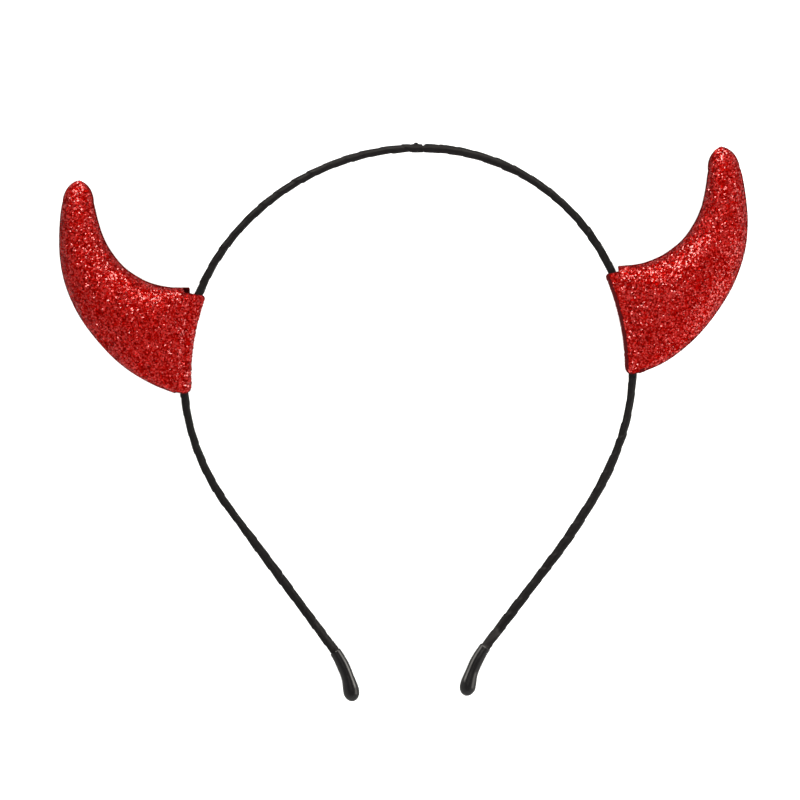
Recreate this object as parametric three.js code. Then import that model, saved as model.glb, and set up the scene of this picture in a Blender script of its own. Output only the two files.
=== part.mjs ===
import * as THREE from 'three';

// Horn headband lying on its back: a ribbon-wound wire arch with two padded glitter-cloth horns.
// Millimetres. Seen from above, +X is to the right and +Y to the crown. +Z is up, and the floor is z = 0.

// Space left between neighbouring pieces, and round the wire inside a horn's tab.
const GAP = 0.3;
const WIRE_GAP = 0.25;

// The wound band, and the crown where its two windings meet.
const BAND = { radius: 1.05, ridge: 0.12, turn: 5.2, sides: 8, ringsPerTurn: 4 };
const CROWN = { x: 3.9, y: 74, lean: 1 };

// Bends from the crown down each side. Radius 0 is a straight run, a negative radius turns outwards.
const BENDS = {
  left: [
    { length: 56, radius: 66 },
    { length: 62, radius: 58.5 },
    { length: 18, radius: 64 },
    { length: 47, radius: 0 },
    { length: 17.5, radius: -29 },
  ],
  right: [
    { length: 57, radius: 56.5 },
    { length: 58, radius: 61.5 },
    { length: 18, radius: 88 },
    { length: 6, radius: 0 },
    { length: 10, radius: 119 },
    { length: 30.2, radius: 0 },
    { length: 16.5, radius: -28 },
  ],
};

// Turn of ribbon at the crown, over a neck in the winding.
const JOIN = { from: -1.9, to: 1.5, inner: 0.95, outer: 1.35, neck: 0.75, ease: 0.8 };

// Sleeves over the ends of the wire: where their lips lie along it, how far the wire reaches in, and the
// outline from lip to bulb.
const LIP_LEFT = -184.4;
const LIP_RIGHT = 179.8;
const TIP = { reach: 8, bore: 1.3, lip: 1.6, bulb: 2.2, round: 2.4, sides: 16 };
const TIP_OUTLINE = [
  { along: 0, radius: TIP.lip },
  { along: 2, radius: 1.64 },
  { along: 7, radius: 1.72 },
  { along: 9.3, radius: 1.88 },
  { along: 10.6, radius: 2.1 },
  { along: 11.8, radius: TIP.bulb },
];

// Horn placement: distance down its side from the crown, turn towards the crown, size of the panels.
const HORNS = {
  left: { down: 89, turn: 0.5, size: 1 },
  right: { down: 80.5, turn: 2.7, size: 1.025 },
};

// Horn panel sections from base to tip, in the horn's own frame: u away from the band, v along it to
// the crown. Heading turns from u towards v, half is half the width, crown the depth in the middle,
// and square how flat the top is before it rolls down to the seam.
const HORN_SECTIONS = [
  { u: 1.6, v: 0.9, heading: 0, half: 14.2, crown: 3.1, square: 8 },
  { u: 7.5, v: 1.5, heading: 2, half: 13.1, crown: 5.0, square: 4 },
  { u: 14.2, v: 3.3, heading: 8, half: 11.9, crown: 6.0, square: 2.8 },
  { u: 20.2, v: 7.0, heading: 22, half: 10.2, crown: 6.2, square: 2.4 },
  { u: 25.0, v: 11.1, heading: 34, half: 8.9, crown: 5.9, square: 2.3 },
  { u: 29.0, v: 16.3, heading: 46, half: 7.7, crown: 5.4, square: 2.2 },
  { u: 31.6, v: 21.6, heading: 57, half: 6.5, crown: 4.8, square: 2.2 },
  { u: 33.2, v: 27.2, heading: 70, half: 5.4, crown: 4.2, square: 2.2 },
  { u: 34.1, v: 31.8, heading: 80, half: 4.6, crown: 3.7, square: 2.2 },
  { u: 34.5, v: 35.1, heading: 88, half: 3.8, crown: 3.2, square: 2.2 },
];
const HORN = { rim: 0.6, roll: 0.55, tip: 4.2, perSection: 2, across: 12 };
const HORN_TIP_TURNS = [20, 40, 60, 75, 85];

// Tab of the folded panel round the wire, and the plain panel's edge that lies over the tab's end.
const TAB = { middle: 0.7, half: 13.1, wall: 1, end: 3.4, rollSteps: 6, rise: 0.3 };
const PLAIN = { edge: -1.3, wall: 0.75, step: TAB.end + GAP, rise: 0.7, padFrom: 5.5 };

// Band plane against the floor: it rises from the tips to the crown.
const TILT = THREE.MathUtils.degToRad(1.7);

const RIBBON = { color: '#221f20', roughness: 0.5, metalness: 0 };
const SLEEVE = { color: '#0b0b0c', roughness: 0.2, metalness: 0 };
const GLITTER = { color: '#a0161c', roughness: 0.45, metalness: 0.1 };

// Room for the wire inside the tab, and the wire's bend radius there.
const WIRE_CLEAR = BAND.radius + BAND.ridge + WIRE_GAP;
const BEND_AT_HORN = 60;

const headband = new THREE.Group();
headband.name = 'headband';

function addMesh(group, name, geometry, look) {
  const mesh = new THREE.Mesh(geometry, new THREE.MeshStandardMaterial(look));
  mesh.name = name;
  group.add(mesh);
}

// Point and heading on the band, s mm from the crown, negative to the left; the heading follows rising s.
function bandAt(s) {
  const side = s < 0 ? 1 : -1;
  let heading = THREE.MathUtils.degToRad(CROWN.lean + (s < 0 ? 180 : 0));
  let rest = Math.abs(s);
  const at = new THREE.Vector2(CROWN.x, CROWN.y);
  for (const bend of s < 0 ? BENDS.left : BENDS.right) {
    const run = Math.min(rest, bend.length);
    const sweep = bend.radius ? (side * run) / bend.radius : 0;
    const chord = sweep ? (run * Math.sin(sweep / 2)) / (sweep / 2) : run;
    at.x += chord * Math.cos(heading + sweep / 2);
    at.y += chord * Math.sin(heading + sweep / 2);
    heading += sweep;
    rest -= run;
  }
  return { x: at.x, y: at.y, heading: s < 0 ? heading + Math.PI : heading };
}

// Ring of points round the band at s; radiusAt gives the radius at each angle.
function bandRing(s, sides, radiusAt) {
  const { x, y, heading } = bandAt(s);
  const ring = [];
  for (let k = 0; k < sides; k++) {
    const angle = (2 * Math.PI * k) / sides;
    const radius = radiusAt(angle);
    const out = radius * Math.cos(angle);
    ring.push(new THREE.Vector3(
      x - out * Math.sin(heading),
      y + out * Math.cos(heading),
      radius * Math.sin(angle),
    ));
  }
  return ring;
}

// Closed body from points and triangles, turned so that its faces look outwards.
function closedBody(points, triangles) {
  let volume = 0;
  for (const [a, b, c] of triangles) {
    volume += points[a].dot(points[b].clone().cross(points[c]));
  }
  const outward = triangles.map(([a, b, c]) => (volume > 0 ? [a, b, c] : [a, c, b]));
  const geometry = new THREE.BufferGeometry().setFromPoints(points);
  geometry.setIndex(outward.flat());
  geometry.computeVertexNormals();
  return geometry;
}

function quad(triangles, a, b, c, d) {
  triangles.push([a, b, c], [a, c, d]);
}

// Tube through a run of rings, closed by a flat cap on its first and last ring.
function tubeBody(rings) {
  const sides = rings[0].length;
  const points = rings.flat();
  const triangles = [];
  for (let i = 0; i + 1 < rings.length; i++) {
    for (let k = 0; k < sides; k++) {
      const next = (k + 1) % sides;
      quad(triangles, i * sides + k, i * sides + next, (i + 1) * sides + next, (i + 1) * sides + k);
    }
  }
  const last = (rings.length - 1) * sides;
  for (let k = 1; k + 1 < sides; k++) {
    triangles.push([0, k + 1, k], [last, last + k, last + k + 1]);
  }
  return closedBody(points, triangles);
}

// Ring-shaped tube: the run of rings comes back to its start.
function loopBody(rings) {
  const sides = rings[0].length;
  const triangles = [];
  rings.forEach((ring, i) => {
    const after = (i + 1) % rings.length;
    for (let k = 0; k < sides; k++) {
      const next = (k + 1) % sides;
      quad(triangles, i * sides + k, i * sides + next, after * sides + next, after * sides + k);
    }
  });
  return closedBody(rings.flat(), triangles);
}

// Thick sheet between two grids of rows, an outer and an inner one, closed round its four edges.
function sheetBody(rows) {
  const wide = rows[0].outer.length;
  const points = rows.flatMap((row) => [...row.outer, ...row.inner]);
  const outer = (i, j) => 2 * wide * i + j;
  const inner = (i, j) => 2 * wide * i + wide + j;
  const triangles = [];
  for (let i = 0; i + 1 < rows.length; i++) {
    for (let j = 0; j + 1 < wide; j++) {
      quad(triangles, outer(i, j), outer(i + 1, j), outer(i + 1, j + 1), outer(i, j + 1));
      quad(triangles, inner(i, j), inner(i, j + 1), inner(i + 1, j + 1), inner(i + 1, j));
    }
    quad(triangles, outer(i, 0), inner(i, 0), inner(i + 1, 0), outer(i + 1, 0));
    quad(triangles, outer(i, wide - 1), outer(i + 1, wide - 1), inner(i + 1, wide - 1), inner(i, wide - 1));
  }
  const last = rows.length - 1;
  for (let j = 0; j + 1 < wide; j++) {
    quad(triangles, outer(0, j), outer(0, j + 1), inner(0, j + 1), inner(0, j));
    quad(triangles, outer(last, j), inner(last, j), inner(last, j + 1), outer(last, j + 1));
  }
  return closedBody(points, triangles);
}

// Winding radius: one low ridge per turn of ribbon, plain inside the sleeves, necked under the join.
function windingRadius(s, angle) {
  const past = Math.max(JOIN.from - s, s - JOIN.to, 0);
  const neck = JOIN.neck + (BAND.radius - JOIN.neck) * Math.min(past / JOIN.ease, 1);
  const wound = past > JOIN.ease && s > LIP_LEFT + BAND.turn && s < LIP_RIGHT - BAND.turn;
  const phase = (2 * Math.PI * s) / BAND.turn - angle;
  return neck + (wound ? BAND.ridge * (0.5 + 0.5 * Math.cos(phase)) : 0);
}

function bandBody() {
  const from = LIP_LEFT - TIP.reach;
  const to = LIP_RIGHT + TIP.reach;
  const steps = Math.ceil(((to - from) * BAND.ringsPerTurn) / BAND.turn);
  const rings = [];
  for (let i = 0; i <= steps; i++) {
    const s = from + ((to - from) * i) / steps;
    rings.push(bandRing(s, BAND.sides, (angle) => windingRadius(s, angle)));
  }
  return tubeBody(rings);
}

function joinBody() {
  const ring = (s, radius) => bandRing(s, TIP.sides, () => radius);
  return loopBody([
    ring(JOIN.from, JOIN.inner),
    ring(JOIN.from, JOIN.outer),
    ring(JOIN.to, JOIN.outer),
    ring(JOIN.to, JOIN.inner),
  ]);
}

// Sleeve from the bottom of its bore out to the lip and along the outside to the rounded bulb.
function tipBody(lip, way) {
  const ring = (along, radius) => bandRing(lip + way * along, TIP.sides, () => radius);
  const boreSteps = 4;
  const roundSteps = 5;
  const rings = [];
  for (let i = boreSteps; i >= 0; i--) {
    rings.push(ring(((TIP.reach + GAP) * i) / boreSteps, TIP.bore));
  }
  for (const { along, radius } of TIP_OUTLINE) {
    rings.push(ring(along, radius));
  }
  const bulb = TIP_OUTLINE.at(-1);
  for (let i = 1; i < roundSteps; i++) {
    const turn = (Math.PI / 2) * (i / roundSteps);
    rings.push(ring(bulb.along + TIP.round * Math.sin(turn), bulb.radius * Math.cos(turn)));
  }
  return tubeBody(rings);
}

// Horn sections between the table's rows, then the rounded tip, placed and turned for one horn.
function hornStations({ turn, size }) {
  const pick = (a, b, c) => new THREE.CatmullRomCurve3(
    HORN_SECTIONS.map((row) => new THREE.Vector3(row[a], row[b], row[c])), false, 'catmullrom',
  );
  const course = pick('u', 'v', 'heading');
  const shape = pick('half', 'crown', 'square');
  const steps = (HORN_SECTIONS.length - 1) * HORN.perSection;
  const stations = [];
  for (let i = 0; i <= steps; i++) {
    const place = course.getPoint(i / steps);
    const form = shape.getPoint(i / steps);
    const lean = THREE.MathUtils.degToRad(turn) * THREE.MathUtils.smoothstep(place.x, 0, HORN_SECTIONS[2].u);
    const middle = new THREE.Vector2(place.x, place.y).rotateAround(new THREE.Vector2(), lean);
    stations.push({
      middle: middle.multiplyScalar(size),
      heading: THREE.MathUtils.degToRad(place.z) + lean,
      half: form.x * size,
      crown: form.y,
      square: form.z,
    });
  }
  const last = stations.at(-1);
  const ahead = new THREE.Vector2(Math.cos(last.heading), Math.sin(last.heading));
  for (const turned of HORN_TIP_TURNS) {
    const round = THREE.MathUtils.degToRad(turned);
    stations.push({
      ...last,
      middle: last.middle.clone().addScaledVector(ahead, HORN.tip * Math.sin(round)),
      half: last.half * Math.cos(round),
      crown: HORN.rim + (last.crown - HORN.rim) * Math.cos(round),
    });
  }
  return stations;
}

// Positions across a panel from -1 to 1, closer together at the edges.
const ACROSS = Array.from({ length: HORN.across + 1 }, (_, j) => (
  Math.sin((Math.PI / 2) * ((2 * j) / HORN.across - 1))
));

function paddedRow({ middle, heading, half, crown, square }, facing) {
  const point = (t, depth) => new THREE.Vector3(
    middle.x - t * half * Math.sin(heading),
    middle.y + t * half * Math.cos(heading),
    facing * depth,
  );
  const dome = (t) => Math.max(1 - Math.abs(t) ** square, 0) ** HORN.roll;
  return {
    outer: ACROSS.map((t) => point(t, HORN.rim + (crown - HORN.rim) * dome(t))),
    inner: ACROSS.map((t) => point(t, GAP / 2)),
  };
}

// Row along the base that keeps its distance from the curved wire.
function baseRow(half, facing, outer, inner) {
  const along = (at) => ACROSS.map((t) => {
    const v = TAB.middle + t * half;
    return new THREE.Vector3(at.u - v ** 2 / (2 * BEND_AT_HORN), v, facing * at.depth);
  });
  return { outer: along(outer), inner: along(inner) };
}

// Folded panel: the tab comes from under the other panel, rolls round the wire and runs on into the horn.
function foldedRows(stations, facing) {
  const outside = WIRE_CLEAR + TAB.wall;
  const rows = [
    baseRow(TAB.half, facing, { u: TAB.end, depth: -outside }, { u: TAB.end, depth: -WIRE_CLEAR }),
  ];
  for (let i = 0; i <= TAB.rollSteps; i++) {
    const angle = Math.PI * (i / TAB.rollSteps - 0.5);
    const at = (radius) => ({ u: -radius * Math.cos(angle), depth: radius * Math.sin(angle) });
    rows.push(baseRow(TAB.half, facing, at(outside), at(WIRE_CLEAR)));
  }
  const beside = WIRE_CLEAR * Math.SQRT1_2;
  rows.push(baseRow(TAB.half, facing, { u: beside, depth: outside + TAB.rise }, { u: beside, depth: beside }));
  return [...rows, ...stations.map((station) => paddedRow(station, facing))];
}

// Plain panel: its base edge lies over the end of the tab, just short of the fold.
function plainRows(stations, facing) {
  const under = WIRE_CLEAR + TAB.wall + GAP;
  const top = under + PLAIN.wall;
  const rows = [
    baseRow(TAB.half, facing, { u: PLAIN.edge, depth: top }, { u: PLAIN.edge, depth: under }),
    baseRow(TAB.half, facing, { u: PLAIN.step, depth: top + PLAIN.rise }, { u: PLAIN.step, depth: under }),
    baseRow(TAB.half, facing, { u: PLAIN.step + PLAIN.wall, depth: top + PLAIN.rise },
      { u: PLAIN.step, depth: GAP / 2 }),
  ];
  const padded = stations.filter(({ middle }) => middle.x > PLAIN.padFrom);
  return [...rows, ...padded.map((station) => paddedRow(station, facing))];
}

// A point that would sink below the floor is pressed back up to it.
function pressToFloor(rows, floor) {
  for (const point of rows.flatMap((row) => row.outer)) {
    const below = Math.min(floor.distanceToPoint(point), 0);
    point.addScaledVector(floor.normal, -below);
  }
  return rows;
}

addMesh(headband, 'band', bandBody(), RIBBON);
addMesh(headband, 'wrap_join', joinBody(), RIBBON);
addMesh(headband, 'tip_left', tipBody(LIP_LEFT, -1), SLEEVE);
addMesh(headband, 'tip_right', tipBody(LIP_RIGHT, 1), SLEEVE);

// The bulbs of the tips lie on the floor.
const bulbAt = bandAt(LIP_LEFT - TIP_OUTLINE.at(-1).along);
headband.rotation.x = TILT;
headband.position.z = TIP.bulb - bulbAt.y * Math.sin(TILT);
headband.updateMatrixWorld();

// Both horns are the same one, turned over: the folded panel is in front on the left, behind on the right.
for (const [side, horn] of Object.entries(HORNS)) {
  const way = side === 'left' ? -1 : 1;
  const { x, y, heading } = bandAt(way * horn.down);
  const out = new THREE.Vector3(-Math.sin(heading), Math.cos(heading), 0);
  const toCrown = new THREE.Vector3(Math.cos(heading), Math.sin(heading), 0).multiplyScalar(-way);
  const group = new THREE.Group();
  group.name = `horn_${side}`;
  headband.add(group);
  group.applyMatrix4(new THREE.Matrix4().makeBasis(out, toCrown, out.clone().cross(toCrown)));
  group.position.set(x, y, 0);
  group.updateMatrixWorld();

  const floor = new THREE.Plane(new THREE.Vector3(0, 0, 1), 0);
  floor.applyMatrix4(group.matrixWorld.clone().invert());
  const stations = hornStations(horn);
  const folded = sheetBody(pressToFloor(foldedRows(stations, -1), floor));
  const plain = sheetBody(pressToFloor(plainRows(stations, 1), floor));
  addMesh(group, `horn_${side}_${way < 0 ? 'front' : 'back'}`, folded, GLITTER);
  addMesh(group, `horn_${side}_${way < 0 ? 'back' : 'front'}`, plain, GLITTER);
}

const part = new THREE.Group();
part.name = 'horn_headband';
part.add(headband);

export default part;
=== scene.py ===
"""Horn headband on a pale floor: ribbon-wound wire, sleeved tips and two padded glitter-cloth horns."""

import math

import bpy
import numpy as np
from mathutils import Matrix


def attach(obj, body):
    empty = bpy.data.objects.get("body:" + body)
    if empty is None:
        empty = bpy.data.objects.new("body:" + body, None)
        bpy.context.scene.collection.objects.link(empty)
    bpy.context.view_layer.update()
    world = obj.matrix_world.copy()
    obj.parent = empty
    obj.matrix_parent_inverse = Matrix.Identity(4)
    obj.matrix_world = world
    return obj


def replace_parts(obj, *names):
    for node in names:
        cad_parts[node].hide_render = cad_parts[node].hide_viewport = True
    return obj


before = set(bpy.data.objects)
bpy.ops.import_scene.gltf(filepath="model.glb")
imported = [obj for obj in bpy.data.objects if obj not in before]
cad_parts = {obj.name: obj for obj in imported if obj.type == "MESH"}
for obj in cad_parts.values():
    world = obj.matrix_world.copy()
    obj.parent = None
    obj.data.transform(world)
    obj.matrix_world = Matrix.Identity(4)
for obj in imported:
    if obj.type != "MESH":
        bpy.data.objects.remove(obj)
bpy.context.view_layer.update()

# Lengths are millimetres in the part's own frame: +X right, +Y to the crown, +Z up off the floor.
MM = 0.001

# The wire's path, as in the part's source: crown, then bends (length, radius) down each side.
# Radius 0 is a straight run, a negative radius turns outwards.
CROWN = {"x": 3.9, "y": 74.0, "lean": math.radians(1)}
BENDS_LEFT = ((56, 66), (62, 58.5), (18, 64), (47, 0), (17.5, -29))
BENDS_RIGHT = ((57, 56.5), (58, 61.5), (18, 88), (6, 0), (10, 119), (30.2, 0), (16.5, -28))

# Where the sleeves' lips lie along the wire, how far it reaches into them, and how the band leans.
LIP_LEFT = -184.4
LIP_RIGHT = 179.8
WIRE_REACH = 8.0
TILT = math.radians(1.7)

# Ribbon winding: turns from end to end, points round a turn, core radius, how high one turn's edge stands
# over the next, the share of the width in which it rises, and the power by which it falls away.
WINDING = {"turns": 73, "per_turn": 24, "radius": 1.02, "step": 0.17, "edge": 0.1, "fall": 0.8}

# Its unevenness: waves in the core and in the edges, the sway of the turns along the wire
# (height, rate, phase), and the stretches where the ribbon lies thicker (from, to, ease, rise).
UNEVEN = {"core": 0.02, "core_rate": 0.23, "step": 0.5, "step_rates": (1.7, 0.6)}
SWAY = ((0.4, 0.9, 0.0), (0.3, 2.3, 1.0))
THICKER = ((-182, -150, 10, 0.14), (3, 24, 5, 0.1), (122, 179, 8, 0.2))

# Room that the winding leaves at a sleeve's mouth and in its bore, and how fast it narrows to that.
ROOM = {"mouth": 0.02, "bore": 0.05, "ease": 0.6}

# Crown, where two windings meet: a necked stretch, the turn that covers it and ends in a point, and the
# first turn of the other winding, whose edge leaves a thin notch. Over and finish are turns before the end.
NECK = {"from": -1.3, "to": 2.0, "radius": 0.62, "belly": 0.4, "ease": 0.4}
JOIN = {"turns": 1.3, "end": 0.25, "middle": -0.25, "half": 1.7, "shift": 0.215, "thick": 0.13,
        "radius": 1.06, "climb": 0.2, "point": 0.22, "lean": -0.1,
        "over": (0.4, 0.25), "finish": (0.27, 0.03), "narrow": 0.86}
NEXT_TURN = {"from": 2.0, "to": 5.6, "slant": 0.4, "near_slant": 0.05, "thick": 0.09, "radius": 1.1}
FLAT_SECTION = {"steps": 96, "sides": 20, "across": 0.6, "up": 0.8}

# Sleeve: radii of lip, shaft and bulb, where the shaft and the bulb widen, the bulb's rounded end, then the
# bore, its flare to the mouth and its depth.
TIP = {"lip": 1.55, "lip_round": 0.15, "shaft": 1.74, "shaft_from": 0.35, "shaft_to": 5.0,
       "bulb": 2.2, "bulb_from": 7.2, "bulb_at": 11.8, "round": 2.7,
       "bore": 1.3, "bore_from": 0.25, "bore_depth": 8.3, "mouth": 1.42, "flare": 2.0, "sides": 48}

# Horns: distance down the side from the crown, turn towards the crown, size, how far the base's upper
# corner lies out from the wire, extra width at the base's lower edge, and the tab's ends along the wire.
HORNS = {
    "left": {"down": -89.0, "turn": math.radians(0.5), "size": 1.0,
             "corner": 1.2, "heel": 0.3, "tab": (-13.3, 13.7)},
    "right": {"down": 80.5, "turn": math.radians(2.7), "size": 1.02,
              "corner": 0.3, "heel": 0.45, "tab": (-13.8, 14.1)},
}

# Horn sections from base to tip, in the horn's frame: u away from the wire, v along it to the crown.
# Columns: u, v, heading in degrees, half width, depth in the middle, squareness of the top.
SECTIONS = np.array([
    (1.6, 1.0, 0, 14.3, 3.1, 8),
    (7.5, 1.5, 2, 13.1, 5.0, 4),
    (14.2, 3.3, 8, 11.9, 6.0, 2.8),
    (20.2, 7.0, 22, 10.2, 6.2, 2.4),
    (25.0, 11.1, 34, 8.9, 5.9, 2.3),
    (29.0, 16.3, 46, 7.7, 5.4, 2.2),
    (31.6, 21.6, 57, 6.5, 4.8, 2.2),
    (33.2, 27.2, 70, 5.4, 4.2, 2.2),
    (34.1, 31.8, 80, 4.6, 3.7, 2.2),
    (34.5, 35.1, 88, 3.8, 3.2, 2.2),
])

# Distance from the wire over which a horn's turn sets in.
LEAN_REACH = SECTIONS[2, 0]

# Padding: depth of the rim, clearance to the other panel, width of the flat flange and its largest share of
# the half width, roundness of the edge, and height of the lumps in the filling (u rate, v rate, phase).
PAD = {"rim": 0.5, "seam": 0.12, "flange": 0.3, "flange_share": 0.3, "roll": 0.55, "lump": 0.12}
LUMPS = ((0.52, 0.3, 1.0), (-0.35, 0.62, 2.2), (0.8, -0.45, 0.0))

# Rounded tip: the section it starts from, its length, how width and depth close, its turn in degrees.
POINT = {"from": 8.5, "long": 5.85, "taper": 1.2, "fall": 0.32, "turn": 88}

# Rows and columns of points in a panel's grid.
GRID = {"rows": 121, "tip_rows": 18, "columns": 73, "tab_rows": 6, "roll_rows": 25, "rise_rows": 3}

# Base of a horn: the tab folded round the wire, the upper corner cut off the panel that has the tab, and
# the plain panel's edge that lies over the tab's end.
TAB = {"inner": 1.3, "outer": 2.1, "end": 3.2, "roll_from": 0.4, "rise": (0.3, 0.8), "climb": 0.6,
       "wire_bend": 60.0, "corners": (2.3, 1.2)}
CORNER_CUT = {"share": 0.1, "to": 2.6, "ease": 0.3}
PLAIN = {"edge": -1.2, "before_corner": 0.3, "under": 2.25, "top": 2.85, "rise": 0.2, "thin": 0.25,
         "tab_room": 3.7, "room_ease": 0.2}

# Height over the floor of the cloth that is pressed flat where it lies.
PRESSED = 0.12

# Swelling of the padded faces by a cloth simulation: how many times its size a face is simulated at, the
# frames it runs, the largest move in mm, and the cloth's settings.
SWELLING = {"large": 20.0, "frames": 20, "most_move": 0.8}
CLOTH = {"quality": 6, "mass": 0.2, "air_damping": 3, "tension_stiffness": 40,
         "compression_stiffness": 40, "shear_stiffness": 12, "bending_stiffness": 0.6,
         "vertex_group_mass": "held", "shrink_min": -0.004,
         "use_pressure": True, "uniform_pressure_force": 1.5}

# Glitter: hexagonal film flakes about 0.5 mm across, how far they lean, stand off the face and reach into
# it, and the spread of their size and height.
FLAKE = {"sides": 6, "per_mm2": 9.5, "radius": 0.245, "tilt": 0.33, "lift": 0.06, "root": 0.16,
         "sizes": (0.8, 1.25), "lifts": (0.4, 1.4)}

# Colours of the studio: the lamps that mirror in the glitter, the soft lights, and the walls.
LAMP = (1.0, 0.95, 0.87)
SOFT = (1.0, 1.0, 1.0)
WALL = (1.0, 0.985, 0.955, 1.0)

# Brightness of the walls at the horizon and overhead, what they gain to the right and to the front, and the
# heights, as the sine of the elevation, between which they darken.
SURROUND = {"horizon": 0.78, "overhead": 0.29, "gain": (0.05, -0.13, 0.0), "from": 0.45, "to": 0.88}

# Studio lights in metres: name, place, aim, width and height, radiance, and whether it lights matt surfaces
# and mirrors in glossy ones. The keys beyond the crown sparkle in the glitter. The cards between the
# legs draw the highlights on the sleeves. The right panels lift the right horn. Front, back and fill
# light the colours without showing in the gloss, and the fill turns the floor white.
LIGHTS = (
    ("key_left", (-0.28, 0.66, 0.42), (0.0, 0.0, 0.0), (0.45, 0.36), 14.0, False, True),
    ("key_right", (0.28, 0.66, 0.42), (0.0, 0.0, 0.0), (0.45, 0.36), 11.5, False, True),
    ("key_top", (-0.2, 0.38, 0.6), (0.0, 0.0, 0.0), (0.22, 0.18), 13.0, False, True),
    ("tip_card_left", (-0.015, -0.045, 0.014), (0.021, -0.064, 0.002), (0.025, 0.022), 6.0, False, True),
    ("tip_card_right", (0.019, -0.05, 0.014), (-0.017, -0.07, 0.002), (0.025, 0.022), 6.0, False, True),
    ("right_horn_panel", (0.02, 0.03, 0.18), (0.1, 0.03, 0.13), (0.2, 0.16), 0.4, False, True),
    ("right_side_panel", (0.25, -0.03, 0.08), (0.0, 0.03, 0.08), (0.26, 0.16), 3.0, True, True),
    ("front", (0.15, -1.0, 0.3), (0.0, 0.0, 0.0), (0.8, 0.4), 20.0, True, False),
    ("back", (0.0, 1.0, 0.35), (0.0, 0.0, 0.0), (0.8, 0.4), 12.0, True, False),
    ("fill", (0.0, 0.0, 1.9), (0.0, 0.0001, 0.0), (2.4, 2.4), 3.6, True, False),
)


def smooth(x, low, high):
    """Smoothstep: 0 up to low, 1 from high on, 3w² - 2w³ between them."""
    w = np.clip((x - low) / (high - low), 0.0, 1.0)
    return w * w * (3 - 2 * w)


def spline(rows, at):
    """Catmull-Rom curve through rows: in each span a cubic whose end slopes are half the step between
    the neighbours."""
    ends = np.concatenate([2 * rows[:1] - rows[1:2], rows, 2 * rows[-1:] - rows[-2:-1]])
    span = np.clip(np.floor(at).astype(int), 0, len(rows) - 2)
    w = (at - span).reshape(-1, *[1] * (rows.ndim - 1))
    before, a, b, after = (ends[span + k] for k in range(4))
    bend = (2 * before - 5 * a + 4 * b - after) * w**2
    twist = (3 * a - before - 3 * b + after) * w**3
    return 0.5 * (2 * a + (b - before) * w + bend + twist)


def side_path(run, bends, side):
    """Point and heading run mm down one side, along a chain of arcs. An arc of length l and radius r turns
    by l / r. Its chord, l * sin(half turn) / half turn, points along the heading half way through it."""
    heading = np.full_like(run, CROWN["lean"] + (np.pi if side > 0 else 0.0))
    x = np.full_like(run, CROWN["x"])
    y = np.full_like(run, CROWN["y"])
    rest = run
    for length, radius in bends:
        part = np.minimum(rest, length)
        turn = side * part / radius if radius else np.zeros_like(part)
        chord = part * np.sinc(turn / (2 * np.pi))
        x = x + chord * np.cos(heading + turn / 2)
        y = y + chord * np.sin(heading + turn / 2)
        heading = heading + turn
        rest = rest - part
    return np.stack([x, y, heading])


def band_path(s):
    """Point and heading on the wire, s mm from the crown, negative to the left. The heading follows
    rising s."""
    s = np.asarray(s, float)
    left = side_path(np.maximum(-s, 0.0), BENDS_LEFT, 1)
    right = side_path(np.maximum(s, 0.0), BENDS_RIGHT, -1)
    x, y, heading = np.where(s < 0, left, right)
    return x, y, np.where(s < 0, heading + np.pi, heading)


LIFT = TIP["bulb"] - float(band_path(LIP_LEFT - TIP["bulb_at"])[1]) * math.sin(TILT)


def lay_down(x, y, z):
    """Points of the band's plane in metres on the floor: turned TILT about X and lifted until the bulbs
    touch."""
    flat_y = y * math.cos(TILT) - z * math.sin(TILT)
    flat_z = y * math.sin(TILT) + z * math.cos(TILT) + LIFT
    return np.stack([x, flat_y, flat_z], axis=-1) * MM


def round_band(s, angle, radius, lean=0.0):
    """Points round the wire: radius * cos(angle) + lean outwards in its plane, and radius * sin(angle)
    off it."""
    x, y, heading = band_path(s)
    out = radius * np.cos(angle) + lean
    return lay_down(x - out * np.sin(heading), y + out * np.cos(heading), radius * np.sin(angle))


def grid_faces(rows, columns, ring=False):
    """Corner numbers of the quads of a grid of points, which closes from last to first column as a ring."""
    i, j = np.meshgrid(np.arange(rows - 1), np.arange(columns if ring else columns - 1), indexing="ij")
    k = (j + 1) % columns
    corners = [i * columns + j, i * columns + k, (i + 1) * columns + k, (i + 1) * columns + j]
    return np.stack(corners, axis=-1).reshape(-1, 4)


def fan(loop, pole):
    """Triangles from each step of a closed loop of points to one pole."""
    return np.stack([loop, np.roll(loop, -1), np.full_like(loop, pole)], axis=-1)


def signed_volume(points, faces):
    """Sum of corner · (next × next but one) over the faces' triangles: positive if they look outwards."""
    total = 0.0
    for k in range(1, faces.shape[1] - 1):
        a, b, c = points[faces[:, 0]], points[faces[:, k]], points[faces[:, k + 1]]
        total += np.einsum("ij,ij->", a, np.cross(b, c))
    return total


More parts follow.
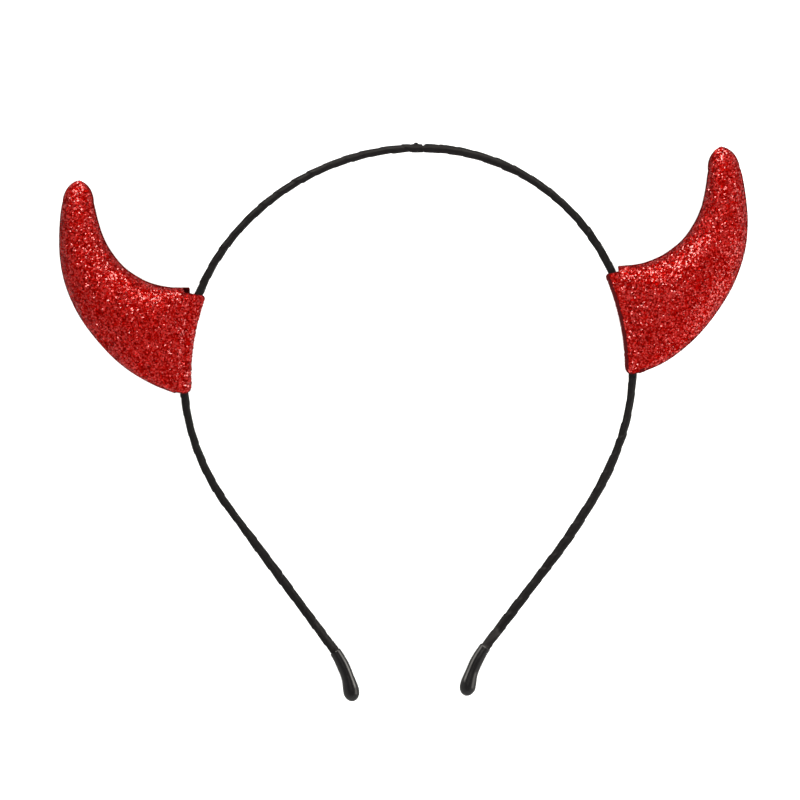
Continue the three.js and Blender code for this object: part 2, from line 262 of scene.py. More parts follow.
def add_piece(name, points, groups, materials, sharp=40):
    """Closed mesh from points and groups of faces (corners, material number, corner UVs or None), turned
    outwards if its volume comes out negative, riding on the part's one body. Edges over sharp degrees
    stay hard."""
    if sum(signed_volume(points, faces) for faces, _, _ in groups) < 0:
        groups = [(f[:, ::-1], m, uv if uv is None else uv[:, ::-1]) for f, m, uv in groups]
    mesh = bpy.data.meshes.new(name)
    mesh.from_pydata(points.tolist(), [], [face for faces, _, _ in groups for face in faces.tolist()])
    numbers = np.concatenate([np.full(len(f), m) for f, m, _ in groups])
    mesh.polygons.foreach_set("material_index", numbers)
    mesh.polygons.foreach_set("use_smooth", np.ones(len(mesh.polygons), bool))
    if groups[0][2] is not None:
        layer = mesh.uv_layers.new(name="Ribbon")
        layer.data.foreach_set("uv", np.concatenate([uv.reshape(-1) for _, _, uv in groups]))
    mesh.set_sharp_from_angle(angle=math.radians(sharp))
    for made in materials:
        mesh.materials.append(made)
    made_object = bpy.data.objects.new(name, mesh)
    bpy.context.scene.collection.objects.link(made_object)
    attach(made_object, "root")
    return made_object


def linear(code):
    """sRGB hex colour as linear RGBA."""
    channels = np.array([int(code[k:k + 2], 16) for k in (1, 3, 5)]) / 255
    low = channels / 12.92
    high = ((channels + 0.055) / 1.055) ** 2.4
    return (*np.where(channels <= 0.04045, low, high), 1.0)


def add(tree, kind, inputs=None, **settings):
    """Adds a node with its settings. Inputs are sockets to link or values to set, by name or number: the
    factor and the two colours of a colour mix are numbers 0, 6 and 7."""
    node = tree.nodes.new(kind)
    for name, value in settings.items():
        setattr(node, name, value)
    for name, value in (inputs or {}).items():
        if isinstance(value, bpy.types.NodeSocket):
            tree.links.new(value, node.inputs[name])
        else:
            node.inputs[name].default_value = value
    return node


def new_material(name):
    """Empty node material and its tree."""
    made = bpy.data.materials.new(name)
    made.use_nodes = True
    made.node_tree.nodes.clear()
    return made, made.node_tree


def per_mm(size):
    """Texture scale on Object coordinates, which are metres, for a pattern of that size in millimetres."""
    return 1 / (size * MM)


def satin_ribbon():
    """Black polyester satin ribbon, woven: nearly black, with a soft sheen across fine cross ribs. The real
    ribs, about 0.1 mm, are too fine to show, so they are drawn rib_gap apart."""
    rib_gap = 0.45
    made, tree = new_material("black satin ribbon")
    place = add(tree, "ShaderNodeUVMap", uv_map="Ribbon").outputs[0]
    # The wave node draws 20 waves in 2π at scale 1.
    rib = add(tree, "ShaderNodeTexWave", {
        "Vector": place, "Scale": 2 * math.pi / (20 * rib_gap),
        "Distortion": 1.2, "Detail": 2, "Detail Scale": 1.5,
    }, wave_type="BANDS", bands_direction="Y").outputs["Fac"]
    cloud = add(tree, "ShaderNodeTexNoise", {"Vector": place, "Scale": 0.9, "Detail": 3}).outputs["Fac"]
    colour = add(tree, "ShaderNodeMix", {0: cloud, 6: linear("#030202"), 7: linear("#110f0f")},
                 data_type="RGBA").outputs[2]
    rough = add(tree, "ShaderNodeMapRange", {
        "Value": cloud, "From Min": 0.3, "From Max": 0.7, "To Min": 0.36, "To Max": 0.55,
    }).outputs[0]
    bump = add(tree, "ShaderNodeBump", {"Strength": 0.5, "Distance": 0.05 * MM, "Height": rib}).outputs[0]
    shader = add(tree, "ShaderNodeBsdfPrincipled", {
        "Base Color": colour, "Roughness": rough, "IOR": 1.5, "Normal": bump, "Specular IOR Level": 0.1,
    })
    add(tree, "ShaderNodeOutputMaterial", {0: shader.outputs[0]})
    return made


def glossy_sleeve():
    """Glossy black PVC, dipped: a wet black with sharp edge reflections and a slight orange-peel ripple."""
    made, tree = new_material("dipped black PVC")
    place = add(tree, "ShaderNodeTexCoord").outputs["Object"]
    ripple = add(tree, "ShaderNodeTexNoise",
                 {"Vector": place, "Scale": per_mm(1.4), "Detail": 1}).outputs["Fac"]
    dust = add(tree, "ShaderNodeTexNoise",
               {"Vector": place, "Scale": per_mm(0.5), "Detail": 4}).outputs["Fac"]
    colour = add(tree, "ShaderNodeMix", {0: dust, 6: linear("#050405"), 7: linear("#0f0e0e")},
                 data_type="RGBA").outputs[2]
    rough = add(tree, "ShaderNodeMapRange", {
        "Value": dust, "From Min": 0.35, "From Max": 0.7, "To Min": 0.12, "To Max": 0.24,
    }).outputs[0]
    bump = add(tree, "ShaderNodeBump",
               {"Strength": 0.25, "Distance": 0.1 * MM, "Height": ripple}).outputs[0]
    shader = add(tree, "ShaderNodeBsdfPrincipled", {
        "Base Color": colour, "Roughness": rough, "IOR": 1.53, "Normal": bump, "Specular IOR Level": 0.3,
    })
    add(tree, "ShaderNodeOutputMaterial", {0: shader.outputs[0]})
    return made


def glitter_ground():
    """Red cloth under the flakes, coated with lacquer and fine glitter dust: deep red, each 0.35 mm grain
    turned its own way. The real dust is about 0.1 mm and too fine to show, so it is drawn coarser."""
    made, tree = new_material("red lacquered glitter ground")
    place = add(tree, "ShaderNodeTexCoord").outputs["Object"]
    grain = add(tree, "ShaderNodeTexVoronoi", {"Vector": place, "Scale": per_mm(0.35)}).outputs["Color"]
    tone = add(tree, "ShaderNodeSeparateColor", {0: grain}).outputs[0]
    colour = add(tree, "ShaderNodeMix", {0: tone, 6: linear("#480000"), 7: linear("#8c0503")},
                 data_type="RGBA").outputs[2]
    lean = add(tree, "ShaderNodeVectorMath", {0: grain, 1: (0.5, 0.5, 0.5)},
               operation="SUBTRACT").outputs[0]
    lean = add(tree, "ShaderNodeVectorMath", {0: lean, "Scale": 0.7}, operation="SCALE").outputs[0]
    face = add(tree, "ShaderNodeNewGeometry").outputs["Normal"]
    turned = add(tree, "ShaderNodeVectorMath", {0: face, 1: lean}, operation="ADD").outputs[0]
    turned = add(tree, "ShaderNodeVectorMath", {0: turned}, operation="NORMALIZE").outputs[0]
    shader = add(tree, "ShaderNodeBsdfPrincipled", {
        "Base Color": colour, "Metallic": 0.4, "Roughness": 0.45,
        "Specular IOR Level": 0.0, "Normal": turned,
    })
    add(tree, "ShaderNodeOutputMaterial", {0: shader.outputs[0]})
    return made


def glitter_flake():
    """Red dyed film over a thin metal layer, cut in hexagons: it scatters part of the light as deep red and
    mirrors the rest. The brighter flakes are under a clear lacquer, which sparkles pale where it mirrors
    a lamp."""
    made, tree = new_material("red metallised film")
    tone = add(tree, "ShaderNodeAttribute", attribute_name="tone").outputs["Fac"]
    colour = add(tree, "ShaderNodeMix", {0: tone, 6: linear("#4a0000"), 7: linear("#a41009")},
                 data_type="RGBA").outputs[2]
    lacquer = add(tree, "ShaderNodeMapRange", {"Value": tone, "From Min": 0.5, "From Max": 0.7}).outputs[0]
    shader = add(tree, "ShaderNodeBsdfPrincipled", {
        "Base Color": colour, "Metallic": 0.4, "Roughness": 0.3, "Specular IOR Level": 0.0,
        "Coat Weight": lacquer, "Coat Roughness": 0.15, "Coat IOR": 1.6,
    })
    add(tree, "ShaderNodeOutputMaterial", {0: shader.outputs[0]})
    return made


def backing_felt():
    """Dark maroon felt backing, needled and die-cut: matt, with 0.5 mm fibre clumps along the cut."""
    made, tree = new_material("maroon felt backing")
    place = add(tree, "ShaderNodeTexCoord").outputs["Object"]
    fibre = add(tree, "ShaderNodeTexNoise",
                {"Vector": place, "Scale": per_mm(0.5), "Detail": 5}).outputs["Fac"]
    colour = add(tree, "ShaderNodeMix", {0: fibre, 6: linear("#260203"), 7: linear("#4c0608")},
                 data_type="RGBA").outputs[2]
    bump = add(tree, "ShaderNodeBump",
               {"Strength": 0.6, "Distance": 0.12 * MM, "Height": fibre}).outputs[0]
    shader = add(tree, "ShaderNodeBsdfPrincipled", {
        "Base Color": colour, "Roughness": 0.9, "IOR": 1.46, "Normal": bump, "Specular IOR Level": 0.08,
    })
    add(tree, "ShaderNodeOutputMaterial", {0: shader.outputs[0]})
    return made


def studio_paper():
    """White paper floor, matt, with a barely visible mottle."""
    made, tree = new_material("white studio paper")
    place = add(tree, "ShaderNodeTexCoord").outputs["Object"]
    mottle = add(tree, "ShaderNodeTexNoise",
                 {"Vector": place, "Scale": per_mm(60), "Detail": 2}).outputs["Fac"]
    colour = add(tree, "ShaderNodeMix", {0: mottle, 6: linear("#f3f3f2"), 7: linear("#f8f8f7")},
                 data_type="RGBA").outputs[2]
    shader = add(tree, "ShaderNodeBsdfPrincipled", {
        "Base Color": colour, "Roughness": 0.9, "Specular IOR Level": 0.0,
    })
    add(tree, "ShaderNodeOutputMaterial", {0: shader.outputs[0]})
    return made


def winding_radius(s, across, turn, angle):
    """Radius of the wound ribbon: a core, thicker on some stretches and necked at the crown, most of all on
    the outer side, plus the ribbon's edge, which comes up quickly where a turn begins and falls away across
    the ribbon as (1 - across)^fall. In the sleeves it is kept under their bore."""
    core = WINDING["radius"] + UNEVEN["core"] * np.sin(UNEVEN["core_rate"] * s)
    for low, high, ease, rise in THICKER:
        core = core + rise * smooth(s, low - ease, low) * (1 - smooth(s, high, high + ease))
    edge = smooth(across, 0.0, WINDING["edge"]) * np.maximum(1 - across, 0.0) ** WINDING["fall"]
    fast, slow = UNEVEN["step_rates"]
    step = WINDING["step"] * (1 + UNEVEN["step"] * np.sin(fast * turn) * np.cos(slow * turn))
    neck = NECK["radius"] + NECK["belly"] * (1 - np.cos(angle)) / 2
    outside = np.maximum(np.maximum(NECK["from"] - s, s - NECK["to"]), 0.0)
    wound = smooth(outside, 0.0, NECK["ease"])
    radius = neck + (core + step * edge - neck) * wound
    inside = np.maximum(LIP_LEFT - s, s - LIP_RIGHT)
    at_mouth = TIP["mouth"] - ROOM["mouth"]
    in_bore = TIP["bore"] - ROOM["bore"]
    return np.minimum(radius, at_mouth + (in_bore - at_mouth) * smooth(inside, 0.0, ROOM["ease"]))


def wound_ribbon(material):
    """Ribbon winding: a profile across the ribbon carried along a helix round the wire. Turn t runs round
    at angle 2πt, and a point across the ribbon lies pitch * (t + across) along the wire, with a slow sway
    in the pitch. The far edge of one turn is the near edge of the next."""
    turns, per_turn, edge = WINDING["turns"], WINDING["per_turn"], WINDING["edge"]
    across = np.concatenate([[0.0, edge / 2, edge], np.linspace(2 * edge, 1 - edge, 6)])
    columns = len(across)
    rows = (turns - 1) * per_turn + 1
    t, a = np.meshgrid(np.arange(rows) / per_turn, across, indexing="ij")
    start = LIP_LEFT - WIRE_REACH
    pitch = (LIP_RIGHT + WIRE_REACH - start) / turns
    along = t + a
    sway = sum(height * np.sin(rate * along + phase) for height, rate, phase in SWAY)
    s = start + pitch * along + sway
    angle = 2 * np.pi * t
    points = round_band(s, angle, winding_radius(s, a, along, angle)).reshape(-1, 3)

    i, c = np.meshgrid(np.arange(rows - 1), np.arange(columns), indexing="ij")
    corner_rows = np.stack([i, i, i + 1, i + 1], axis=-1).reshape(-1, 4)
    corner_columns = np.stack([c, c + 1, c + 1, c], axis=-1).reshape(-1, 4)
    wrapped = corner_columns // columns
    true_rows = corner_rows + wrapped * per_turn
    kept = true_rows.max(axis=1) < rows
    quads = (true_rows * columns + corner_columns % columns)[kept]
    width = np.append(across, 1.0) * pitch
    length = 2 * math.pi * WINDING["radius"]
    uv = np.stack([width[corner_columns], corner_rows * length / per_turn], axis=-1)[kept]

    first_row = np.arange(columns)
    first_edge = np.arange(per_turn, 0, -1) * columns
    last_row = (rows - 1) * columns + np.arange(columns)
    last_edge = np.arange(rows - 2, rows - per_turn - 2, -1) * columns + columns - 1
    poles = round_band(np.array([s[0].mean(), s[-1].mean()]), 0.0, 0.0)
    count = len(points)
    ends = np.concatenate([
        fan(np.concatenate([first_row, first_edge]), count)[:, ::-1],
        fan(np.concatenate([last_row, last_edge]), count + 1),
    ])
    points = np.concatenate([points, poles])
    groups = [(quads, 0, uv), (ends, 0, np.zeros((len(ends), 3, 2)))]
    return add_piece("ribbon_winding", points, groups, [material])


def crown_join(material):
    """Two ribbon turns at the crown, each a flat rounded section carried round the wire. The first goes
    more than once round, climbs over its own start and narrows to a point on the outer side. The second is
    a closed ring from its left edge to a right edge that slants by slant * (1 - cos(angle))."""
    steps, sides = FLAT_SECTION["steps"], FLAT_SECTION["sides"]
    ring = 2 * np.pi * np.arange(sides) / sides
    across = np.sign(np.cos(ring)) * np.abs(np.cos(ring)) ** FLAT_SECTION["across"]
    up = np.sign(np.sin(ring)) * np.abs(np.sin(ring)) ** FLAT_SECTION["up"]

    turns = JOIN["turns"]
    t = np.linspace(0, turns, steps)[:, None]
    angle = 2 * np.pi * (t - turns) + JOIN["end"]
    over = smooth(t, turns - JOIN["over"][0], turns - JOIN["over"][1])
    finish = smooth(t, turns - JOIN["finish"][0], turns - JOIN["finish"][1])
    half = JOIN["half"] * (1 - JOIN["narrow"] * finish)
    middle = JOIN["middle"] + JOIN["shift"] * (1 - np.cos(angle))
    radius = JOIN["radius"] + JOIN["climb"] * over + JOIN["point"] * finish
    first = round_band(middle + half * across, angle, radius + JOIN["thick"] * up, JOIN["lean"])
    first = first.reshape(-1, 3)
    quads = grid_faces(steps, sides, ring=True)
    length = 2 * math.pi * JOIN["radius"]
    pattern_middle = 1.5
    own = np.stack([pattern_middle + half * across, t * length + 0 * across], axis=-1).reshape(-1, 2)
    begin = np.arange(sides)
    end = (steps - 1) * sides + begin
    poles = np.stack([first[begin].mean(axis=0), first[end].mean(axis=0)])
    caps = np.concatenate([fan(begin, len(first))[:, ::-1], fan(end, len(first) + 1)])

    turn = np.linspace(0, 2 * np.pi, steps)[:, None]
    bend = 1 - np.cos(turn)
    left = NEXT_TURN["from"] - NEXT_TURN["near_slant"] * bend
    right = NEXT_TURN["to"] + NEXT_TURN["slant"] * bend
    along = (left + right) / 2 + (right - left) / 2 * across
    second = round_band(along, turn, NEXT_TURN["radius"] + NEXT_TURN["thick"] * up, JOIN["lean"])
    closed = second[:-1].reshape(-1, 3)
    offset = len(first) + len(poles)
    next_own = np.stack([along, turn * NEXT_TURN["radius"] + 0 * across], axis=-1).reshape(-1, 2)
    points = np.concatenate([first, poles, closed])
    groups = [
        (quads, 0, own[quads]),
        (quads % len(closed) + offset, 0, next_own[quads]),
        (caps, 0, np.ones((len(caps), 3, 2))),
    ]
    return add_piece("crown_join", points, groups, [material])


def sleeve(name, lip, way, material):
    """Sleeve with a bulb end: a profile carried along the wire and spun round it. It runs from the bottom
    of the bore out to the rounded lip, along a shaft that widens in two smooth steps to the bulb, then to
    a quarter-ellipse end."""
    depth = np.linspace(TIP["bore_depth"], TIP["bore_from"], 10)
    bore = TIP["bore"] + (TIP["mouth"] - TIP["bore"]) * (1 - smooth(depth, 0.0, TIP["flare"]))
    lip_turn = np.radians(np.arange(180, -1, -30))
    lip_half = (TIP["lip"] - TIP["mouth"]) / 2
    lip_along = TIP["lip_round"] - TIP["lip_round"] * np.sin(lip_turn)
    lip_radius = TIP["mouth"] + lip_half + lip_half * np.cos(lip_turn)
    run = np.linspace(TIP["shaft_from"], TIP["bulb_at"], 36)
    widen = (TIP["shaft"] - TIP["lip"]) * smooth(run, 0.0, TIP["shaft_to"])
    swelling = (TIP["bulb"] - TIP["shaft"]) * smooth(run, TIP["bulb_from"], TIP["bulb_at"])
    round_turn = np.radians(np.arange(6, 90, 6))
    end_along = TIP["bulb_at"] + TIP["round"] * np.sin(round_turn)
    end_radius = TIP["bulb"] * np.cos(round_turn)
    along = np.concatenate([depth, lip_along, run, end_along])
    radius = np.concatenate([bore, lip_radius, TIP["lip"] + widen + swelling, end_radius])
    sides = TIP["sides"]
    rows = len(radius)
    along, k = np.meshgrid(along, np.arange(sides), indexing="ij")
    points = round_band(lip + way * along, 2 * np.pi * k / sides, radius[:, None]).reshape(-1, 3)
    first = np.arange(sides)
    last = (rows - 1) * sides + first
    far = np.array([lip + way * TIP["bore_depth"], lip + way * (TIP["bulb_at"] + TIP["round"])])
    poles = round_band(far, 0.0, 0.0)
    ends = np.concatenate([fan(first, len(points))[:, ::-1], fan(last, len(points) + 1)])
    points = np.concatenate([points, poles])
    quads = grid_faces(rows, sides, ring=True)
    return add_piece(name, points, [(quads, 0, None), (ends, 0, None)], [material], sharp=60)


def section_rows(horn):
    """Rows of a horn from base to tip: the table's curve, begun at the base's corner, leaned and scaled,
    then the rounded tip. The tip's rows go on by long * sin(angle), its width closes by cos(angle)^taper
    and its depth by cos(angle) * (1 - fall * sin(angle)), which takes up the slope of the rows before."""
    size = horn["size"]
    sections = SECTIONS.copy()
    sections[0, 0] = horn["corner"]
    sections[:2, 1] -= horn["heel"] / 2
    sections[:2, 3] += horn["heel"] / 2
    table = spline(sections, np.linspace(0, POINT["from"], GRID["rows"]))
    u, v, heading, half, crown, square = table.T
    lean = horn["turn"] * smooth(u, 0.0, LEAN_REACH)
    heading = np.radians(heading) + lean
    u, v = u * np.cos(lean) - v * np.sin(lean), u * np.sin(lean) + v * np.cos(lean)
    angle = np.radians(np.linspace(0, POINT["turn"], GRID["tip_rows"] + 1))[1:]
    close = np.cos(angle) ** POINT["taper"]
    flatten = np.cos(angle) * (1 - POINT["fall"] * np.sin(angle))
    tip_u = u[-1] + POINT["long"] / size * np.sin(angle) * np.cos(heading[-1])
    tip_v = v[-1] + POINT["long"] / size * np.sin(angle) * np.sin(heading[-1])
    return {
        "u": size * np.append(u, tip_u),
        "v": size * np.append(v, tip_v),
        "heading": np.append(heading, np.full_like(angle, heading[-1])),
        "half": size * np.append(half, half[-1] * close),
        "crown": np.append(crown, PAD["rim"] + (crown[-1] - PAD["rim"]) * flatten),
        "square": np.append(square, np.full_like(angle, square[-1])),
    }


# Places across a panel: the dome from seam to seam, closer together at the edges, with a flange outside it.
DOME = np.sin(np.pi / 2 * np.linspace(-1, 1, GRID["columns"]))
DOME = np.concatenate([[-1.0], DOME, [1.0]])
FLANGE = np.zeros_like(DOME)
FLANGE[[0, -1]] = (-1.0, 1.0)


def lumps(u, v):
    """Slight unevenness of the filling: three crossing sine waves, 7 to 10 mm long."""
    waves = sum(np.sin(along * u + beside * v + phase) for along, beside, phase in LUMPS)
    return PAD["lump"] / len(LUMPS) * waves


def padded_rows(rows, cut=0.0):
    """Outer and inner points of the padded part. Across a row, t from -1 to 1, the depth is
    rim + (crown - rim) * (1 - |t|^square)^roll, and the inner face is flat, just clear of the other panel.
    A share cut of the half width is left off at the base's upper corner."""
    half = rows["half"][:, None]
    flange = np.minimum(PAD["flange"], PAD["flange_share"] * half)
    across = DOME * (half - flange) + FLANGE * flange
    low, high = CORNER_CUT["to"] - CORNER_CUT["ease"], CORNER_CUT["to"] + CORNER_CUT["ease"]
    near_base = 1 - smooth(rows["u"][:, None], low, high)
    across = np.where(DOME > 0, across * (1 - cut * near_base), across)
    u = rows["u"][:, None] - across * np.sin(rows["heading"])[:, None]
    v = rows["v"][:, None] + across * np.cos(rows["heading"])[:, None]
    bulge = np.maximum(1 - np.abs(DOME) ** rows["square"][:, None], 0.0) ** PAD["roll"]
    depth = PAD["rim"] + (rows["crown"][:, None] - PAD["rim"] + lumps(u, v)) * bulge
    outer = np.stack([u, v, depth], axis=-1)
    inner = np.stack([u, v, np.full_like(u, PAD["seam"])], axis=-1)
    return outer, inner


def base_row(ends, u, depth, follow=1.0):
    """Rows along the base that follow the curved wire: u less follow * v² / (2 * wire bend). Their ends
    round off the tab's corners, shorter by radius * (1 - sqrt(1 - w²)) as w goes from 0 to 1 over the last
    of the roll."""
    u = np.asarray(u, float)[:, None]
    depth = np.asarray(depth, float)[:, None]
    follow = np.asarray(follow, float).reshape(-1, 1)
    radius = np.array(TAB["corners"])
    w = np.clip((radius - TAB["outer"] - u) / radius, 0.0, 1.0)
    shorter = radius * (1 - np.sqrt(1 - w**2))
    low, high = ends[0] + shorter[:, :1], ends[1] - shorter[:, 1:]
    v = (low + high) / 2 + DOME * ((high - low) / 2 - PAD["flange"]) + FLANGE * PAD["flange"]
    return np.stack([u - follow * v**2 / (2 * TAB["wire_bend"]), v, depth + 0.0 * v], axis=-1)


def folded_panel(rows, horn):
    """Panel with the tab: from under the other panel, half way round the wire, then up into the padded
    part. The roll's points are (-radius * cos, radius * sin) in u and depth."""
    outer, inner = padded_rows(rows, CORNER_CUT["share"])
    tab_u = np.linspace(TAB["end"], TAB["roll_from"], GRID["tab_rows"])
    roll = np.radians(np.linspace(-90, 90, GRID["roll_rows"]))
    rise = np.linspace(*TAB["rise"], GRID["rise_rows"])
    beside = TAB["inner"] * np.sin(rise)
    ends = horn["tab"]
    base_outer = np.concatenate([
        base_row(ends, tab_u, np.full_like(tab_u, -TAB["outer"])),
        base_row(ends, -TAB["outer"] * np.cos(roll), TAB["outer"] * np.sin(roll)),
        base_row(ends, rise * horn["corner"], TAB["outer"] + TAB["climb"] * rise, 1 - rise),
    ])
    base_inner = np.concatenate([
        base_row(ends, tab_u, np.full_like(tab_u, -TAB["inner"])),
        base_row(ends, -TAB["inner"] * np.cos(roll), TAB["inner"] * np.sin(roll)),
        base_row(ends, beside, TAB["inner"] * np.cos(rise), 1 - rise),
    ])
    glitter_from = len(tab_u) + len(roll) // 2
    outer = np.concatenate([base_outer, outer])
    inner = np.concatenate([base_inner, inner])
    return outer, inner, glitter_from, len(base_outer)


def plain_panel(rows, horn):
    """Panel without a tab: its edge lies flat over the tab's end, then it swells into the padded part.
    Inside, it leaves room for the tab up to tab_room."""
    outer, inner = padded_rows(rows)
    share = np.linspace(0, 1, GRID["tab_rows"])
    edge_u = PLAIN["edge"] + (horn["corner"] - PLAIN["before_corner"] - PLAIN["edge"]) * share
    base_outer = base_row(horn["tab"], edge_u, PLAIN["top"] + PLAIN["rise"] * share, 1 - share)
    base_inner = base_row(horn["tab"], edge_u, np.full_like(edge_u, PLAIN["under"]), 1 - share)
    room = 1 - smooth(outer[..., 0], PLAIN["tab_room"] - PLAIN["room_ease"], PLAIN["tab_room"])
    over_tab = np.minimum(PLAIN["under"], outer[..., 2] - PLAIN["thin"])
    inner[..., 2] = inner[..., 2] + (over_tab - inner[..., 2]) * room
    outer = np.concatenate([base_outer, outer])
    inner = np.concatenate([base_inner, inner])
    return outer, inner, 0, len(base_outer)


def lay_horn(points, down, rise):
    """Points of a horn's frame in metres on the floor: u out from the wire, v along it to the crown, depth
    up for the panel in front and down for the one behind."""
    x, y, heading = band_path(down)
    u, v, depth = np.moveaxis(points, -1, 0)
    towards = v if down < 0 else -v
    flat_x = x - u * np.sin(heading) + towards * np.cos(heading)
    flat_y = y + u * np.cos(heading) + towards * np.sin(heading)
    return lay_down(flat_x, flat_y, rise * depth)


def swell(outer, rise):
    """Cloth simulation of a panel's face: pinned at the seam, the base and the tip, blown up by its
    filling, and read back as a move of each point, (end - start) / large. The face is simulated many
    times its size, at every second row and column."""
    large = SWELLING["large"]
    coarse = outer[::2, 1:-1:2]
    rows, columns = coarse.shape[:2]
    start = coarse.reshape(-1, 3) * (large, large, large * rise)
    faces = grid_faces(rows, columns)
    if rise > 0:
        faces = faces[:, ::-1]
    mesh = bpy.data.meshes.new("swelling_face")
    mesh.from_pydata((start * MM).tolist(), [], faces.tolist())
    body = bpy.data.objects.new("swelling_face", mesh)
    bpy.context.scene.collection.objects.link(body)
    held = np.ones((rows, columns), bool)
    held[2:-2, 1:-1] = False
    body.vertex_groups.new(name="held").add(np.flatnonzero(held).tolist(), 1.0, "REPLACE")
    settings = body.modifiers.new("cloth", "CLOTH").settings
    for name, value in CLOTH.items():
        setattr(settings, name, value)
    settings.effector_weights.gravity = 0.0
    scene = bpy.context.scene
    for step in range(SWELLING["frames"]):
        scene.frame_set(step + 1)
    done = body.evaluated_get(bpy.context.evaluated_depsgraph_get()).data
    moved = np.empty(len(start) * 3, np.float32)
    done.vertices.foreach_get("co", moved)
    scene.frame_set(1)
    bpy.data.objects.remove(body)
    bpy.data.meshes.remove(mesh)
    move = (moved.reshape(-1, 3) / MM - start) / (large, large, large * rise)
    return move.reshape(rows, columns, 3)


def swollen(outer, rise):
    """Adds the simulated move to the padded rows, capped at most_move and spread to the rows and columns
    between by the same curve that the sections use."""
    move = swell(outer, rise)
    size = np.linalg.norm(move, axis=-1, keepdims=True)
    move = move * np.minimum(1.0, SWELLING["most_move"] / np.maximum(size, 1e-9))
    rows, columns = outer.shape[0], outer.shape[1] - 2
    move = spline(move, np.arange(rows) / 2)
    move = np.swapaxes(spline(np.swapaxes(move, 0, 1), np.arange(columns) / 2), 0, 1)
    made = outer.copy()
    made[:, 1:-1] += move
    return made


def surface_normals(grid, up):
    """Unit normals of a grid of points, from the cross product of its two directions, on the side given
    by up."""
    normal = np.cross(np.gradient(grid, axis=0), np.gradient(grid, axis=1))
    normal /= np.maximum(np.linalg.norm(normal, axis=-1, keepdims=True), 1e-15)
    middle = normal[len(grid) // 2, grid.shape[1] // 2]
    return normal if middle[2] * up > 0 else -normal


def scatter_flakes(name, grid, up, seed, material):
    """Glitter flakes on a face: points spread by area over its quads, each carrying a hexagon that leans a
    little off the face, with a low pyramid under it as its root in the lacquer."""
    draw = np.random.default_rng(seed)
    normals = surface_normals(grid, up)
    faces = grid_faces(*grid.shape[:2])
    spots, facing = grid.reshape(-1, 3)[faces], normals.reshape(-1, 3)[faces]
    area = np.linalg.norm(np.cross(spots[:, 2] - spots[:, 0], spots[:, 3] - spots[:, 1]), axis=1) / 2
    count = int(area.sum() / MM**2 * FLAKE["per_mm2"])
    chosen = draw.choice(len(faces), count, p=area / area.sum())
    a, b = draw.random((2, count, 1))
    weights = np.stack([(1 - a) * (1 - b), a * (1 - b), a * b, (1 - a) * b], axis=1)
    middle = (spots[chosen] * weights).sum(axis=1)
    normal = (facing[chosen] * weights).sum(axis=1)
    normal /= np.linalg.norm(normal, axis=1, keepdims=True)

    side = np.cross(normal, draw.normal(size=(count, 3)))
    side /= np.linalg.norm(side, axis=1, keepdims=True)
    lean = draw.normal(scale=FLAKE["tilt"], size=(count, 1))
    axis = normal + lean * side
    axis /= np.linalg.norm(axis, axis=1, keepdims=True)
    first = np.cross(axis, draw.normal(size=(count, 3)))
    first /= np.linalg.norm(first, axis=1, keepdims=True)
    second = np.cross(axis, first)
    radius = FLAKE["radius"] * draw.uniform(*FLAKE["sizes"], (count, 1, 1)) * MM
    lift = FLAKE["lift"] * draw.uniform(*FLAKE["lifts"], (count, 1)) * MM
    centre = middle + normal * lift
    sides = FLAKE["sides"]
    k = np.arange(sides)
    corner = 2 * np.pi * k / sides
    rim = np.cos(corner)[:, None] * first[:, None] + np.sin(corner)[:, None] * second[:, None]
    rim = centre[:, None] + radius * rim
    root = centre - axis * FLAKE["root"] * MM
    points = np.concatenate([rim, root[:, None]], axis=1)
    points[..., 2] = np.maximum(points[..., 2], 0.0)

    base = (sides + 1) * np.arange(count)[:, None]
    tops = base + k
    roots = np.stack([base + (k + 1) % sides, base + k, base + np.full(sides, sides)], axis=-1)
    groups = [(tops, 0, None), (roots.reshape(-1, 3), 0, None)]
    made = add_piece(name, points.reshape(-1, 3), groups, [material], sharp=15)
    tone = made.data.attributes.new("tone", "FLOAT", "POINT")
    tone.data.foreach_set("value", np.repeat(draw.random(count), sides + 1).astype(np.float32))
    return made


def horn_panel(side, which, folded, seed):
    """One panel of a horn with its glitter. Outer and inner grids are joined round their four edges. The
    flange, the cut edges and the inside are felt. The tab's outer face up to the middle of its roll is
    given the same dark maroon, which on the right horn draws a dark strip beside the wire."""
    horn = HORNS[side]
    rise = 1 if which == "front" else -1
    rows = section_rows(horn)
    outer, inner, glitter_from, padded_from = (folded_panel if folded else plain_panel)(rows, horn)
    outer[padded_from:] = swollen(outer[padded_from:], rise)
    outer = lay_horn(outer, horn["down"], rise)
    inner = lay_horn(inner, horn["down"], rise)
    outer[..., 2] = np.maximum(outer[..., 2], PRESSED * MM)
    inner[..., 2] = np.maximum(inner[..., 2], 2 * PRESSED * MM)

    count, columns = outer.shape[:2]
    numbers = np.arange(count * columns).reshape(count, columns)
    face = grid_faces(count, columns)
    row_of, column_of = np.divmod(np.arange(len(face)), columns - 1)
    # Faces of the tab before glitter_from take the dark maroon; on the right horn they draw the dark strip
    # beside the wire.
    on_glitter = (row_of >= glitter_from) & (column_of > 0) & (column_of < columns - 2)
    border = np.concatenate([numbers[0, :-1], numbers[:-1, -1], numbers[-1, :0:-1], numbers[:0:-1, 0]])
    lower = border + count * columns
    wall = np.stack([border, lower, np.roll(lower, -1), np.roll(border, -1)], axis=-1)
    groups = [
        (face[on_glitter], 0, None),
        (face[~on_glitter], 1, None),
        (face[:, ::-1] + count * columns, 1, None),
        (wall, 1, None),
    ]
    points = np.concatenate([outer.reshape(-1, 3), inner.reshape(-1, 3)])
    name = f"horn_{side}_{which}"
    made = add_piece(f"{name}_cloth", points, groups, [GROUND, FELT])
    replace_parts(made, name)
    scatter_flakes(f"{name}_glitter", outer[glitter_from:, 1:-1], rise, seed, FLAKES)


RIBBON = satin_ribbon()
SLEEVE = glossy_sleeve()
GROUND = glitter_ground()
FLAKES = glitter_flake()
FELT = backing_felt()

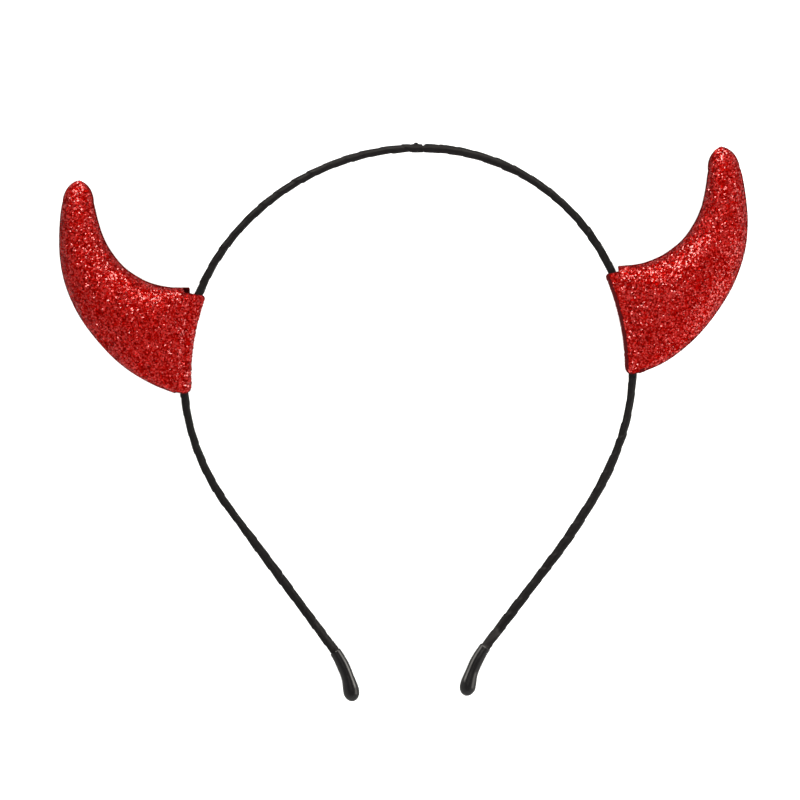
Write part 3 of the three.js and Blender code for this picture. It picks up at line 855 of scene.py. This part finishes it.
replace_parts(wound_ribbon(RIBBON), "band")
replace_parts(crown_join(RIBBON), "wrap_join")
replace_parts(sleeve("tip_left_sleeve", LIP_LEFT, -1, SLEEVE), "tip_left")
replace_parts(sleeve("tip_right_sleeve", LIP_RIGHT, 1, SLEEVE), "tip_right")
horn_panel("left", "front", True, 1)
horn_panel("left", "back", False, 2)
horn_panel("right", "front", False, 3)
horn_panel("right", "back", True, 4)


def add_floor():
    """Plain pale floor, 6 m square."""
    far = 3.0
    mesh = bpy.data.meshes.new("floor")
    mesh.from_pydata([(-far, -far, 0), (far, -far, 0), (far, far, 0), (-far, far, 0)], [], [(0, 1, 2, 3)])
    mesh.materials.append(studio_paper())
    floor = bpy.data.objects.new("floor", mesh)
    bpy.context.scene.collection.objects.link(floor)
    floor.visible_glossy = False


def add_panel_light(name, place, aim, size, radiance, diffuse, glossy):
    """Rectangular studio light, turned from straight down towards its aim. Its power is
    radiance * area * π."""
    data = bpy.data.lights.new(name, "AREA")
    data.shape = "RECTANGLE"
    data.size, data.size_y = size
    data.color = LAMP if glossy else SOFT
    data.energy = radiance * size[0] * size[1] * math.pi
    light = bpy.data.objects.new(name, data)
    bpy.context.scene.collection.objects.link(light)
    way = np.subtract(aim, place)
    light.location = place
    light.rotation_euler = (math.acos(-way[2] / np.linalg.norm(way)), 0, math.atan2(-way[0], way[1]))
    light.visible_camera = False
    light.visible_diffuse = diffuse
    light.visible_glossy = glossy


def add_world():
    """Studio surround: dark overhead, white towards the horizon, brighter in front and on the right."""
    world = bpy.data.worlds.new("studio")
    bpy.context.scene.world = world
    world.use_nodes = True
    tree = world.node_tree
    tree.nodes.clear()
    way = add(tree, "ShaderNodeTexCoord").outputs["Generated"]
    parts = add(tree, "ShaderNodeSeparateXYZ", {0: way}).outputs
    near = add(tree, "ShaderNodeVectorMath", {0: way, 1: SURROUND["gain"]},
               operation="DOT_PRODUCT").outputs["Value"]
    horizon = add(tree, "ShaderNodeMath", {0: near, 1: SURROUND["horizon"]}).outputs[0]
    share = add(tree, "ShaderNodeMapRange", {
        "Value": parts[2], "From Min": SURROUND["from"], "From Max": SURROUND["to"],
    }, interpolation_type="SMOOTHSTEP").outputs[0]
    light = add(tree, "ShaderNodeMix", {0: share, 2: horizon, 3: SURROUND["overhead"]}).outputs[0]
    sky = add(tree, "ShaderNodeBackground", {0: WALL, 1: light})
    add(tree, "ShaderNodeOutputWorld", {0: sky.outputs[0]})


def add_camera():
    """Camera straight above the middle of the picture, whose 800 pixels span 216 mm at the horns' height.
    The lens is sensor width * height / span."""
    span, height, horns = 0.216, 1.2, 0.006
    middle = (-0.675 * MM, 5.94 * MM)
    data = bpy.data.cameras.new("camera")
    data.sensor_width = 36.0
    data.lens = data.sensor_width * height / span
    data.clip_end = 20.0
    camera = bpy.data.objects.new("camera", data)
    bpy.context.scene.collection.objects.link(camera)
    camera.location = (*middle, height + horns)
    bpy.context.scene.camera = camera


add_floor()
add_world()
for light in LIGHTS:
    add_panel_light(*light)
add_camera()
bpy.context.scene.view_settings.view_transform = "Standard"
